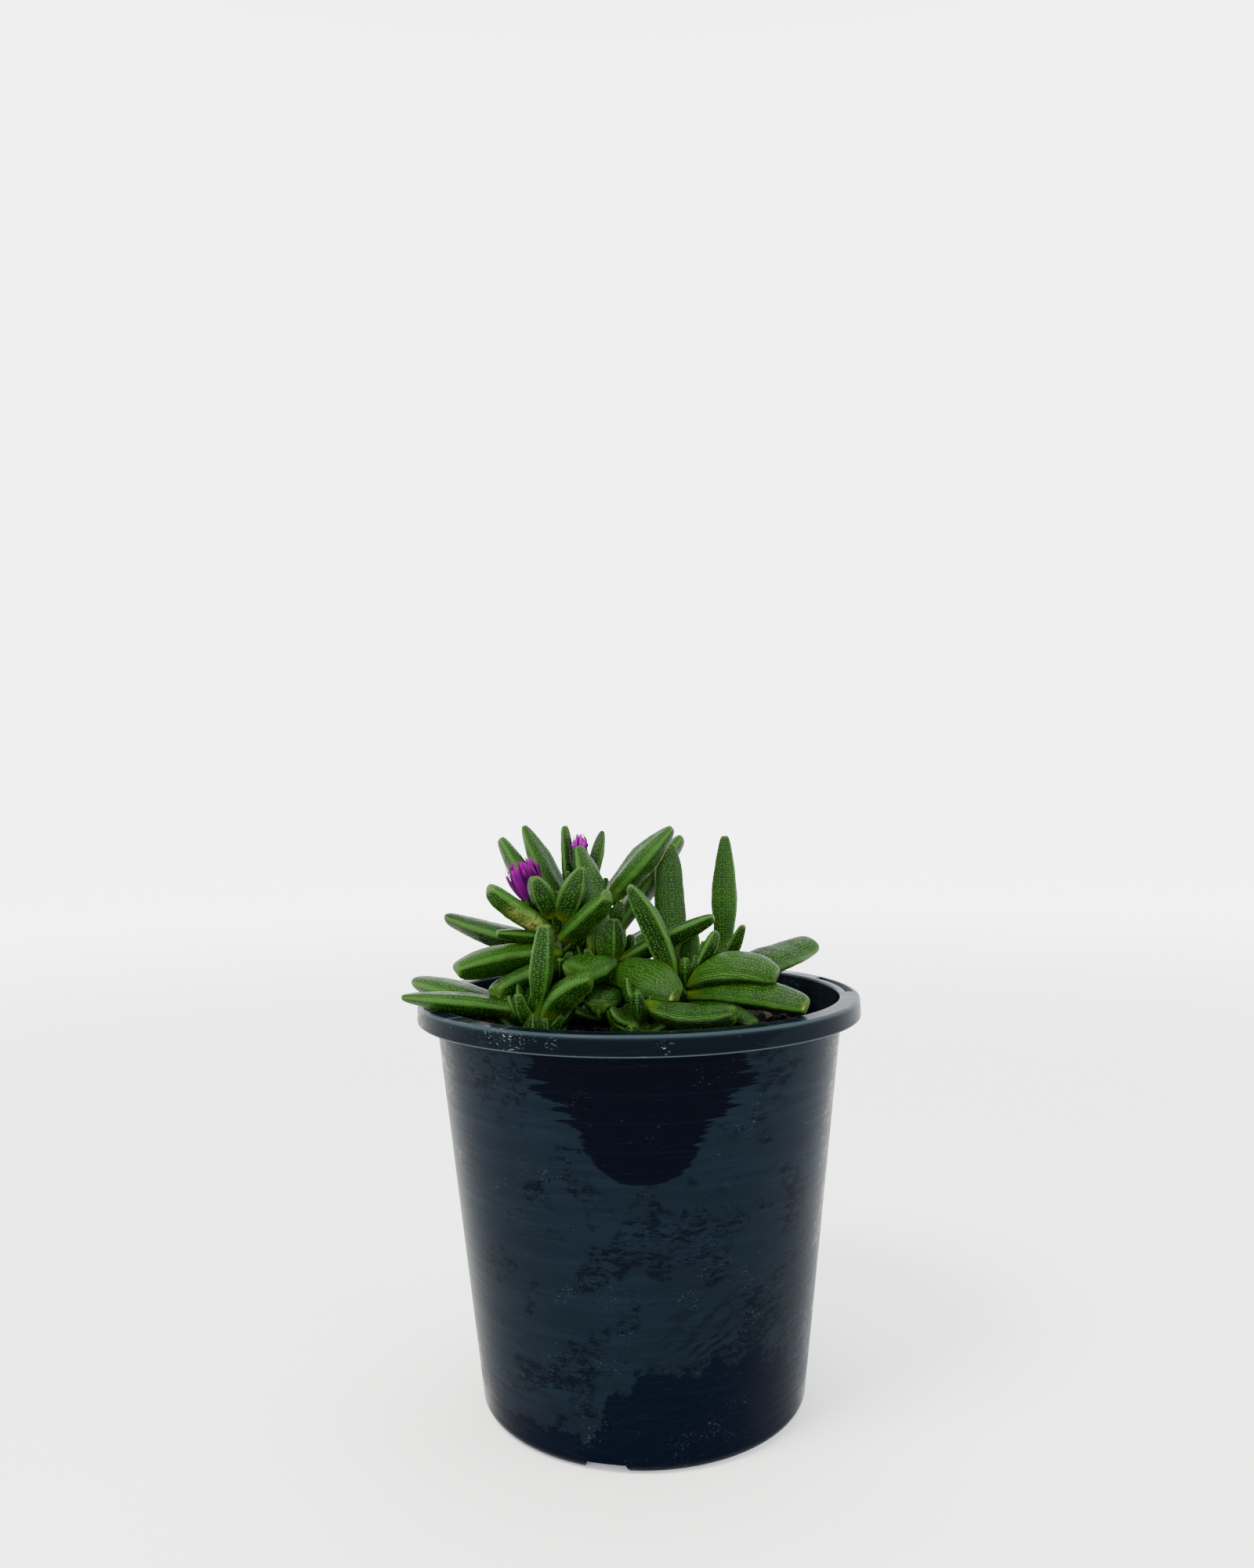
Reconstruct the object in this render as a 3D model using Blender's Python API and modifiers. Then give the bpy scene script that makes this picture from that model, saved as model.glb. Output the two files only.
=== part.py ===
"""Ice plant in a tapered black nursery pot, with one half-open flower and one bud.

The pot stands on z = 0 with its axis on z. Heights of the plant are measured from the rim's top,
because its shoots lean over the rim, and the stems reach down from there into the potting mix.
"""

import math

import bmesh
import bpy
import numpy as np
from mathutils import Matrix, Vector

MM = 0.001

# Pot
POT_HEIGHT = 126.0 * MM
RIM_RADIUS = 70.0 * MM  # outside of the rim
BASE_RADIUS = 48.8 * MM  # flat ring that the pot stands on
CORNER_RADIUS = 3.8 * MM  # between floor and wall
CORNER_STEPS = 5
FOOT_SPREAD = 0.6  # the wall's line starts outside the base by this share of the corner radius
WALL = 1.2 * MM
FLANGE_WIDTH = 5.8 * MM  # from the body's outside to the rim's outside
SKIRT_HEIGHT = 6.0 * MM
SKIRT_FLARE = 0.2 * MM
LIP_RADIUS = 0.8 * MM  # rounding along the top of the wall
POT_STEPS = 64
SHARP_EDGE = 35.0  # degrees between faces that shade as an edge

# Slot through the flange for a plant label
SLOT_START = -4.0  # degrees from +X
SLOT_END = 23.0
SLOT_WIDTH = 2.8 * MM

# Drainage notches where the floor meets the wall
NOTCH_COUNT = 4
NOTCH_FIRST = -103.0  # degrees from +X
NOTCH_WIDTH = 15.7 * MM
NOTCH_HEIGHT = 2.8 * MM
NOTCH_DEPTH = 5.0 * MM  # inwards from the base radius
NOTCH_ROUND = 0.6  # rounding of its upper corners as a share of its height

# Potting mix
HEADSPACE = 13.0 * MM  # from the rim's top down to the mix at the wall
MIX_CROWN = 1.5 * MM  # how much the mix rises towards the middle
MIX_GAP = 0.4 * MM  # between the mix and the pot
MIX_SHOULDER = (0.5, 0.8)  # at this share of the radius, this share of the crown is left
MIX_STEPS = 40

# Stems
STEM_DEPTH = 10.0 * MM  # how far a stem reaches into the mix
STEM_GAP = 0.4 * MM  # between a stem and its socket in the mix
STEM_FOOT = 1.1  # radius at the foot and at the top, as shares of the stem's radius
STEM_TOP = 0.8
STEM_SIDES = 10

# Leaves
LEAF_GAP = 0.5 * MM  # between a leaf's foot and the stem that bears it
LEAF_DEPTH = 0.8  # thickness as a share of the width
LEAF_UPPER = 0.36  # share of the thickness above the middle line
LEAF_FOOT = 0.66  # half-width at the foot as a share of the widest
LEAF_WIDEST = 0.45  # where along the leaf it is widest
LEAF_TAPER = 0.3  # share of the width lost from LEAF_TAPER_START to the tip
LEAF_TAPER_START = 0.6
LEAF_BLUNT = 0.6  # power of the round end: lower is blunter
LEAF_SIDES = 8
LEAF_RINGS = 9

# Flower and bud
CALYX_SIDES = 12
PETAL_GAP = 0.4 * MM  # between a calyx and the petals standing on it

PLASTIC = ((0.012, 0.017, 0.022), 0.28)
MIX = ((0.012, 0.010, 0.008), 0.95)
STEM = ((0.16, 0.19, 0.05), 0.6)
LEAF = ((0.07, 0.18, 0.03), 0.5)
CALYX = ((0.09, 0.20, 0.04), 0.5)
PETAL = ((0.42, 0.01, 0.40), 0.45)

# Each shoot: foot x, y and top x, y in mm, top's height above the rim, and stem radius.
SHOOTS = {
    "flower_shoot": ((-23, -2), (-25, -8), 21.0, 1.9),
    "bud_shoot": ((-17, 2), (-18, 1), 32.0, 1.6),
    "centre_shoot": ((-9, -10), (-8.5, -13), 12.5, 1.8),
    "tall_shoot": ((-10, 9), (-14, 5), 29.0, 1.9),
    "right_shoot": ((16, -17), (14, -20), 6.0, 1.8),
    "far_right_shoot": ((26, -1), (25.5, -3.5), 9.0, 1.8),
    "left_shoot": ((-31, -26), (-32, -29), -0.5, 1.7),
    "middle_shoot": ((12, 0), (12, -3), 7.0, 1.7),
    "front_shoot": ((0, -31), (1, -34), 1.0, 1.7),
    "back_shoot": ((-12, 30), (-13, 31), 9.0, 1.7),
}

# Each leaf: height of its foot above the rim in mm, azimuth, rise, bend and turn in degrees,
# length and width in mm. Azimuth runs from +X towards +Y, rise is above the horizon at the foot,
# bend is how far the leaf curls upwards from foot to tip, and turn rolls it about its own line.
LEAVES = {
    "flower_shoot": [
        (14, -145, 9, -24, 0, 34, 9.8),
        (10.5, 84, 10, 15, 0, 13, 5.4),
        (19, -146, 12, -6, 0, 19.5, 5.2),
        (20, -49, 34, 0, 25, 24.5, 7.6),
        (26, -55, 57, 0, 0, 18.5, 8.2),
        (17, 165, 7, 12, 0, 37, 8.0),
        (22, -141, 33, 0, -20, 26, 7.2),
        (27, -118, 52, 0, 0, 15, 7.6),
        (8, -129, 5, -20, 20, 27, 8.6),
    ],
    "bud_shoot": [
        (29, 150, 84, 0, 0, 25, 4.6),
        (33, 45, 71, 0, 0, 20, 4.8),
        (24, 154, 60, 0, 0, 34.5, 7.8),
        (15, 172, 57, 0, 0, 42, 7.0),
    ],
    "centre_shoot": [
        (10.5, -122, 13, -25, 20, 17, 10.4),
        (9, -53, 4, -22, 35, 30, 12.0),
        (13, -82, 71, 0, 0, 13.5, 4.6),
        (12.5, -11, 29, -8, 0, 32, 7.4),
        (14, 141, 90, -25, 0, 34.5, 10.4),
        (2, -100, 6, -15, 0, 17.5, 7.8),
    ],
    "tall_shoot": [
        (30, -17, 51, -10, 30, 32, 9.6),
        (18, 23, 54, -8, 0, 41, 9.2),
        (18, 120, 40, -10, 0, 32, 8.0),
        (9, 144, 34, -6, 0, 26, 7.2),
        (8, 78, 34, -14, 0, 27, 7.4),
    ],
    "right_shoot": [
        (6, 70, 74, 4, 0, 16, 6.2),
        (10, -12, 62, 0, 0, 13.5, 5.4),
        (-1, -58, 6, -14, 0, 31, 7.4),
        (7, -34, 35, -58, 20, 29, 9.2),
        (3, -39, 12, -24, 20, 40, 8.0),
        (9, -152, 76, -25, 0, 31, 8.2),
    ],
    "far_right_shoot": [
        (9, 66, 82, 6, 0, 41, 8.6),
        (9, -49, 60, 0, 0, 15.5, 4.6),
        (5, 40, 7, 4, 15, 43, 9.0),
        (3, 110, 18, -14, 0, 30, 7.2),
    ],
    "left_shoot": [
        (0, 180, 12, -10, 0, 36.5, 6.2),
        (-3, 148, 18, -14, 0, 44, 7.4),
        (0, -62, 72, 8, 0, 27, 6.6),
        (-2, -19, 68, -56, 0, 20, 7.6),
    ],
    "middle_shoot": [
        (8, 100, 80, 6, 0, 40, 9.4),
    ],
    "front_shoot": [
        (2, -34, -15, 32, 0, 28, 8.4),
    ],
    "back_shoot": [
        (6, 96, 16, -8, 0, 36, 8.0),
        (7, 20, 30, -14, 0, 30, 7.4),
        (7, 186, 22, -6, 0, 34, 8.0),
        (3, 236, 24, -12, 0, 20, 6.4),
    ],
}

# The half-open flower: middle of the calyx's foot, direction it leans, and sizes in mm.
FLOWER = {
    "foot": (-30.5, -7.0, 27.0),
    "azimuth": 195.0,
    "rise": 76.0,
    "calyx": ((0.0, 1.8), (3.0, 3.2), (6.0, 3.6)),
    "petals": ((0.0, 3.3), (6.0, 4.6), (12.0, 5.2), (12.6, 4.4)),
}
BUD = {
    "foot": (-17.6, 0.5, 34.0),
    "azimuth": 90.0,
    "rise": 86.0,
    "calyx": ((0.0, 1.4), (5.0, 2.9), (10.0, 2.4), (12.0, 1.9)),
    "petals": ((0.0, 1.6), (2.4, 2.4), (4.2, 2.1), (4.8, 1.2)),
}


def collection(name):
    made = bpy.data.collections.new(name)
    bpy.context.scene.collection.children.link(made)
    return made


def material(name, look):
    colour, roughness = look
    made = bpy.data.materials.new(name)
    made.use_nodes = True
    shader = made.node_tree.nodes["Principled BSDF"]
    shader.inputs["Base Color"].default_value = (*colour, 1.0)
    shader.inputs["Roughness"].default_value = roughness
    shader.inputs["Metallic"].default_value = 0.0
    return made


def add_object(name, mesh, place, look=None):
    """Puts a mesh in a collection as a named object, with its own material if it has a look."""
    made = bpy.data.objects.new(name, mesh)
    place.objects.link(made)
    if look:
        mesh.materials.append(material(name, look))
    else:
        made.hide_render = True
        made.display_type = "WIRE"
    return made


def mesh_from(name, shape):
    """Turns a bmesh into a mesh and frees it."""
    made = bpy.data.meshes.new(name)
    shape.to_mesh(made)
    shape.free()
    return made


def turned(name, profile, steps, place, look=None):
    """A profile of (radius, height) points turned about z. It ends on the axis, or closes."""
    shape = bmesh.new()
    points = [shape.verts.new((radius, 0.0, height)) for radius, height in profile]
    for first, second in zip(points, points[1:]):
        shape.edges.new((first, second))
    made = add_object(name, mesh_from(name, shape), place, look)
    screw = made.modifiers.new("Screw", "SCREW")
    screw.steps = steps
    screw.render_steps = steps
    screw.use_merge_vertices = True
    screw.merge_threshold = 0.00005
    if look:
        made.data.shade_smooth()
    return made


def arc(centre, radius, start, end, steps):
    """Points of an arc in a profile, from start to end in degrees."""
    return [
        (
            centre[0] + radius * math.cos(math.radians(angle)),
            centre[1] + radius * math.sin(math.radians(angle)),
        )
        for angle in np.linspace(start, end, steps)
    ]


def cut(target, cutter):
    """Takes the cutter's shape out of the target."""
    boolean = target.modifiers.new(cutter.name, "BOOLEAN")
    boolean.operation = "DIFFERENCE"
    boolean.solver = "EXACT"
    boolean.object = cutter


def wall_radius(height):
    """Outside radius of the pot's wall at a height, on the line from the base to the flange."""
    top = RIM_RADIUS - FLANGE_WIDTH
    share = (height - CORNER_RADIUS) / (POT_HEIGHT - SKIRT_HEIGHT - CORNER_RADIUS)
    foot = BASE_RADIUS + CORNER_RADIUS * FOOT_SPREAD
    return foot + (top - foot) * share


def build_pot(place, cutters):
    """Wall, floor, lip, flange and skirt as one turned shell, with its slot and notches cut."""
    top_inside = wall_radius(POT_HEIGHT) - WALL
    foot_inside = wall_radius(CORNER_RADIUS) - WALL
    corner_middle = (wall_radius(CORNER_RADIUS) - CORNER_RADIUS, CORNER_RADIUS)
    profile = [
        (0.0, WALL),
        *arc(
            (foot_inside - CORNER_RADIUS + WALL, CORNER_RADIUS),
            CORNER_RADIUS - WALL,
            -90,
            0,
            CORNER_STEPS - 1,
        ),
        (top_inside, POT_HEIGHT - LIP_RADIUS),
        *arc((top_inside + LIP_RADIUS, POT_HEIGHT - LIP_RADIUS), LIP_RADIUS, 150, 60, 3),
        (RIM_RADIUS - LIP_RADIUS, POT_HEIGHT),
        (RIM_RADIUS, POT_HEIGHT - LIP_RADIUS),
        (RIM_RADIUS + SKIRT_FLARE, POT_HEIGHT - SKIRT_HEIGHT),
        (RIM_RADIUS + SKIRT_FLARE - WALL, POT_HEIGHT - SKIRT_HEIGHT),
        (RIM_RADIUS - WALL, POT_HEIGHT - WALL),
        (wall_radius(POT_HEIGHT - WALL), POT_HEIGHT - WALL),
        (wall_radius(POT_HEIGHT - SKIRT_HEIGHT), POT_HEIGHT - SKIRT_HEIGHT),
        *arc(corner_middle, CORNER_RADIUS, 0, -90, CORNER_STEPS),
        (0.0, 0.0),
    ]
    pot = turned("pot", profile, POT_STEPS, place, PLASTIC)
    cut(pot, label_slot(cutters))
    for index in range(NOTCH_COUNT):
        cut(pot, drainage_notch(index, cutters))
    pot.data.set_sharp_from_angle(angle=math.radians(SHARP_EDGE))
    return pot


def label_slot(cutters):
    """A block bent along the flange: a flat grid laid on the arc, given its height by Solidify."""
    middle = RIM_RADIUS - FLANGE_WIDTH / 2
    shape = bmesh.new()
    bmesh.ops.create_grid(shape, x_segments=8, y_segments=1, size=0.5)
    for vertex in shape.verts:
        angle = math.radians(SLOT_START + (SLOT_END - SLOT_START) * (vertex.co.x + 0.5))
        radius = middle - vertex.co.y * SLOT_WIDTH
        vertex.co = (radius * math.cos(angle), radius * math.sin(angle), POT_HEIGHT + WALL)
    cutter = add_object("label_slot", mesh_from("label_slot", shape), cutters)
    solidify = cutter.modifiers.new("Solidify", "SOLIDIFY")
    solidify.thickness = SKIRT_HEIGHT / 2 + WALL
    solidify.offset = -1.0
    return cutter


def drainage_notch(index, cutters):
    """A block with rounded upper corners across the edge between the floor and the wall."""
    angle = math.radians(NOTCH_FIRST + index * 360 / NOTCH_COUNT)
    reach = NOTCH_DEPTH + 2 * CORNER_RADIUS
    middle = BASE_RADIUS - NOTCH_DEPTH + reach / 2
    shape = bmesh.new()
    bmesh.ops.create_cube(shape, size=1.0)
    bmesh.ops.scale(shape, vec=(reach, NOTCH_WIDTH, 2 * NOTCH_HEIGHT), verts=shape.verts)
    edges = [e for e in shape.edges if abs(e.verts[0].co.z - e.verts[1].co.z) < MM
             and abs(e.verts[0].co.y - e.verts[1].co.y) < MM]
    bmesh.ops.bevel(shape, geom=edges, offset=NOTCH_HEIGHT * NOTCH_ROUND, segments=3, affect="EDGES",
                    profile=0.5)
    turn = Matrix.Rotation(angle, 4, "Z") @ Matrix.Translation((middle, 0.0, 0.0))
    bmesh.ops.transform(shape, matrix=turn, verts=shape.verts)
    return add_object(f"drainage_notch_{index + 1}", mesh_from("drainage_notch", shape), cutters)


def build_mix(place, cutters):
    """The body of potting mix, a little clear of the pot, with a socket for each stem."""
    floor = WALL + MIX_GAP
    level = POT_HEIGHT - HEADSPACE
    inset = WALL + MIX_GAP
    shoulder, crown_left = MIX_SHOULDER
    profile = [
        (0.0, level + MIX_CROWN),
        (wall_radius(level) * shoulder, level + MIX_CROWN * crown_left),
        (wall_radius(level) - inset, level),
        (wall_radius(CORNER_RADIUS) - inset, CORNER_RADIUS),
        (BASE_RADIUS - NOTCH_DEPTH, floor),
        (0.0, floor),
    ]
    mix = turned("potting_mix", profile, MIX_STEPS, place, MIX)
    for shoot in SHOOTS:
        cut(mix, stem_solid(shoot, STEM_GAP, shoot + "_socket", cutters))
    return mix


def stem_line(shoot):
    """Foot and top of a shoot's stem. The foot is in the mix, the top is set from the rim."""
    foot, top, height, radius = SHOOTS[shoot]
    low = POT_HEIGHT - HEADSPACE - STEM_DEPTH
    return (
        Vector((foot[0] * MM, foot[1] * MM, low)),
        Vector((top[0] * MM, top[1] * MM, POT_HEIGHT + height * MM)),
    )


def stem_solid(shoot, extra, name, place, look=None):
    """A straight tapered stem, or its socket when extra is above 0."""
    low, high = stem_line(shoot)
    radius = SHOOTS[shoot][3] * MM + extra
    axis = (high - low).normalized()
    low = low - axis * extra
    shape = bmesh.new()
    bmesh.ops.create_cone(
        shape,
        cap_ends=True,
        segments=STEM_SIDES,
        radius1=radius * STEM_FOOT,
        radius2=radius * STEM_TOP,
        depth=(high - low).length,
    )
    turn = axis.to_track_quat("Z", "Y").to_matrix().to_4x4()
    place_it = Matrix.Translation((low + high) / 2) @ turn
    bmesh.ops.transform(shape, matrix=place_it, verts=shape.verts)
    return add_object(name, mesh_from(name, shape), place, look)


def stem_point(shoot, height):
    """Point on the stem's middle line at a height above the rim, carried on past its top."""
    low, high = stem_line(shoot)
    share = (POT_HEIGHT + height * MM - low.z) / (high.z - low.z)
    return low + (high - low) * share


def leaf_outline(along, round_end):
    """Half-width as a share of the widest: round ends, a narrower foot and a tapering tip."""
    foot = LEAF_FOOT + (1 - LEAF_FOOT) * np.clip(along / LEAF_WIDEST, 0, 1) ** 0.8
    beyond = np.clip((along - LEAF_TAPER_START) / (1 - LEAF_TAPER_START), 0, 1)
    tip = 1 - LEAF_TAPER * beyond**1.5
    return round_end**LEAF_BLUNT * foot * tip


def build_leaf(shoot, number, row, place):
    """A thick leaf: a ball whose rings are carried along a bent line, flat above, keeled below."""
    height, azimuth, rise, bend, turn, length, width = row
    azimuth, rise, bend, turn = (math.radians(a) for a in (azimuth, rise, bend, turn))
    length, width = length * MM, width * MM
    thickness = width * LEAF_DEPTH
    upper, lower = thickness * LEAF_UPPER, thickness * (1 - LEAF_UPPER)
    out = Vector((math.cos(azimuth), math.sin(azimuth), 0.0))
    clear = SHOOTS[shoot][3] * MM + LEAF_GAP + upper * abs(math.sin(rise))
    root = np.array(stem_point(shoot, height) + out * clear)

    shape = bmesh.new()
    bmesh.ops.create_uvsphere(
        shape, u_segments=LEAF_SIDES, v_segments=LEAF_RINGS, radius=1.0
    )
    ball = np.array([vertex.co for vertex in shape.verts])
    along = (ball[:, 2] + 1) / 2
    round_end = np.sqrt(np.clip(1 - ball[:, 2] ** 2, 0, 1))
    around = ball[:, :2] / np.maximum(round_end, 1e-9)[:, None]
    share = leaf_outline(along, round_end)

    curl = bend if abs(bend) > 1e-6 else 1e-6
    angle = rise + curl * along
    forward = length * (np.sin(angle) - math.sin(rise)) / curl
    upward = length * (math.cos(rise) - np.cos(angle)) / curl
    side = np.array([-math.sin(azimuth), math.cos(azimuth), 0.0])
    ahead = np.array(out)
    top = np.array([0.0, 0.0, 1.0])
    normal = np.cos(angle)[:, None] * top - np.sin(angle)[:, None] * ahead
    depth = np.where(around[:, 1] > 0, upper, lower)
    across = share * around[:, 0] * width / 2
    through = share * around[:, 1] * depth
    points = (
        root
        + forward[:, None] * ahead
        + upward[:, None] * top
        + (across * math.cos(turn) - through * math.sin(turn))[:, None] * side
        + (across * math.sin(turn) + through * math.cos(turn))[:, None] * normal
    )
    for vertex, point in zip(shape.verts, points):
        vertex.co = point
    name = f"{shoot}_leaf_{number}"
    leaf = add_object(name, mesh_from(name, shape), place, LEAF)
    leaf.data.shade_smooth()
    return leaf


def lean(made, flower, lift):
    """Stands a turned piece on a flower's line, lifted along it."""
    azimuth, rise = math.radians(flower["azimuth"]), math.radians(flower["rise"])
    axis = Vector(
        (
            math.cos(rise) * math.cos(azimuth),
            math.cos(rise) * math.sin(azimuth),
            math.sin(rise),
        )
    )
    x, y, height = flower["foot"]
    foot = Vector((x * MM, y * MM, POT_HEIGHT + height * MM))
    made.location = foot + axis * lift
    made.rotation_euler = axis.to_track_quat("Z", "Y").to_euler()


def build_flower(name, flower, place):
    """A turned green calyx with a turned tuft of petals standing on it."""
    calyx_top = flower["calyx"][-1][0] * MM
    for part, look, lift in (("calyx", CALYX, 0.0), ("petals", PETAL, calyx_top + PETAL_GAP)):
        rows = flower[part]
        profile = [(0.0, rows[-1][0] * MM)]
        profile += [(radius * MM, height * MM) for height, radius in reversed(rows)]
        profile += [(0.0, rows[0][0] * MM)]
        made = turned(f"{name}_{part}", profile, CALYX_SIDES, place, look)
        lean(made, flower, lift)


def main():
    for old in list(bpy.data.objects):
        bpy.data.objects.remove(old)
    parts = collection("potted_ice_plant")
    cutters = collection("cutters")
    build_pot(parts, cutters)
    build_mix(parts, cutters)
    for shoot in SHOOTS:
        stem_solid(shoot, 0.0, shoot + "_stem", parts, STEM)
    for shoot, rows in LEAVES.items():
        for number, row in enumerate(rows, 1):
            build_leaf(shoot, number, row, parts)
    build_flower("flower", FLOWER, parts)
    build_flower("bud", BUD, parts)


main()
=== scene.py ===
"""Ice plant in a tapered black nursery pot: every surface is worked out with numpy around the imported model.

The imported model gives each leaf's and stem's place and size. Leaves are rebuilt as fine fleshy
surfaces on the same lines, the pot as a fine turned shell, the flower from separate petals.
"""

import math

import bpy
import numpy as np
from mathutils import Matrix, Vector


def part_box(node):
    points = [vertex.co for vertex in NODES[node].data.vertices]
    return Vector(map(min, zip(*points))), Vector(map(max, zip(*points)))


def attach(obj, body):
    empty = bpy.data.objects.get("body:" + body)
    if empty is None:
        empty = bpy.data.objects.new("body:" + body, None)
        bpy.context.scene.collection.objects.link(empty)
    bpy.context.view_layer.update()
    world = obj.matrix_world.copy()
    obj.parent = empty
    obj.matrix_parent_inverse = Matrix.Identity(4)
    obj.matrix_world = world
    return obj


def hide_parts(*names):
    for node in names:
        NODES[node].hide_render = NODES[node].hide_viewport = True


MM = 0.001
TURN = 2 * math.pi
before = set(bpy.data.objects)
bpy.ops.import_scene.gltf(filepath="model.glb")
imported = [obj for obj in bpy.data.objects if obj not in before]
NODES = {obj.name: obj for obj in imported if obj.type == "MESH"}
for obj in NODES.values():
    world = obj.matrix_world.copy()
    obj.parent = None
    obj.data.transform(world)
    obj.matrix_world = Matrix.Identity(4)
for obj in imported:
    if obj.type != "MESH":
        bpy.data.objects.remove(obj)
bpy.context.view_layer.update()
SHOOTS = sorted(n[: -len("_stem")] for n in NODES if n.endswith("_stem"))

# Pot sizes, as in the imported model
POT_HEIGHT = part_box("pot")[1][2]
BASE_RADIUS = 48.8 * MM
CORNER_RADIUS = 3.8 * MM
WALL = 1.2 * MM
FLANGE_WIDTH = 5.8 * MM
SKIRT_HEIGHT = 6.0 * MM
SKIRT_FLARE = 0.2 * MM
RIM_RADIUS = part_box("pot")[1][0] - SKIRT_FLARE
LIP_RADIUS = 0.8 * MM
POT_STEPS = 288
SLOT_ARC = (-4.0, 23.0)  # degrees from +X
SLOT_WIDTH = 2.8 * MM
NOTCH_COUNT = 4
NOTCH_FIRST = -103.0
NOTCH_WIDTH = 15.7 * MM
NOTCH_HEIGHT = 2.8 * MM
NOTCH_DEPTH = 5.0 * MM
MIX_LEVEL = POT_HEIGHT - 13.0 * MM
MIX_CROWN = 1.5 * MM
MIX_RADIUS = 62.0 * MM

# Flower and bud: foot, azimuth and rise in degrees, set here and up to 2 mm off the model's
FLOWER_FOOT = (-31.3 * MM, -7.0 * MM, POT_HEIGHT + 27.0 * MM)
FLOWER_LEAN = (192.0, 69.0)
BUD_FOOT = (-18.2 * MM, 0.5 * MM, POT_HEIGHT + 35.6 * MM)
BUD_LEAN = (90.0, 86.0)


# ---------------------------------------------------------------- colour and nodes


def colour(code):
    """sRGB hex to linear RGBA: c/12.92 below 0.04045, else ((c+0.055)/1.055)^2.4."""
    parts = np.array([int(code[i : i + 2], 16) / 255 for i in (1, 3, 5)])
    linear = np.where(parts <= 0.04045, parts / 12.92, ((parts + 0.055) / 1.055) ** 2.4)
    return (*linear, 1.0)


def fill(tree, node, inputs):
    """Sets or links a node's inputs by name or number; a string is the hex code of a colour."""
    for name, value in inputs.items():
        if isinstance(value, Field):
            tree.links.new(value.socket, node.inputs[name])
        else:
            node.inputs[name].default_value = colour(value) if isinstance(value, str) else value


def add_node(tree, kind, inputs=None, output=0, **settings):
    """Adds a node, sets its properties and inputs, and gives one of its outputs as a Field."""
    made = tree.nodes.new("ShaderNode" + kind)
    for name, value in settings.items():
        setattr(made, name, value)
    fill(tree, made, inputs or {})
    return Field(tree, made.outputs[output])


class Field:
    """An output of a node. Arithmetic on it adds Math nodes, so a pattern reads as a formula."""

    def __init__(self, tree, socket):
        self.tree, self.socket = tree, socket

    def maths(self, operation, second=0.0):
        return add_node(self.tree, "Math", {0: self, 1: second}, operation=operation)

    def __add__(self, other):
        return self.maths("ADD", other)

    def __sub__(self, other):
        return self.maths("SUBTRACT", other)

    def __rsub__(self, number):
        return add_node(self.tree, "Math", {0: number, 1: self}, operation="SUBTRACT")

    def __mul__(self, other):
        return self.maths("MULTIPLY", other)

    def __truediv__(self, other):
        return self.maths("DIVIDE", other)

    def between(self, first, second):
        """Mix of two colours, with this as the share of the second."""
        inputs = {0: self, 6: first, 7: second}
        return add_node(self.tree, "Mix", inputs, 2, data_type="RGBA", clamp_factor=True)

    def ramp(self, low, high, to_low=0.0, to_high=1.0):
        """Smooth change from to_low to to_high while this goes from low to high."""
        inputs = {0: self, 1: low, 2: high, 3: to_low, 4: to_high}
        return add_node(self.tree, "MapRange", inputs, interpolation_type="SMOOTHSTEP")

    def stretched(self, *scale):
        """Coordinates multiplied by scale, to draw a pattern out along an axis."""
        return add_node(self.tree, "Mapping", {0: self, 3: scale})

    def noise(self, size, detail=3.0, roughness=0.55):
        """Noise on these coordinates, whose blobs are about size metres across."""
        inputs = {"Vector": self, "Scale": 1 / size, "Detail": detail, "Roughness": roughness}
        return add_node(self.tree, "TexNoise", inputs)

    def bump(self, depth, below=None):
        """Normal where this, from 0 to 1, stands depth metres proud, laid over another normal."""
        inputs = {"Strength": 1.0, "Distance": depth, "Height": self}
        if below:
            inputs["Normal"] = below
        return add_node(self.tree, "Bump", inputs)


def attribute(tree, name, output="Fac"):
    return add_node(tree, "Attribute", None, output, attribute_name=name)


def new_material(name):
    """An empty material, its node tree, and its Principled shader."""
    made = bpy.data.materials.new(name)
    made.use_nodes = True
    return made, made.node_tree, made.node_tree.nodes["Principled BSDF"]


# ---------------------------------------------------------------- materials


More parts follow.
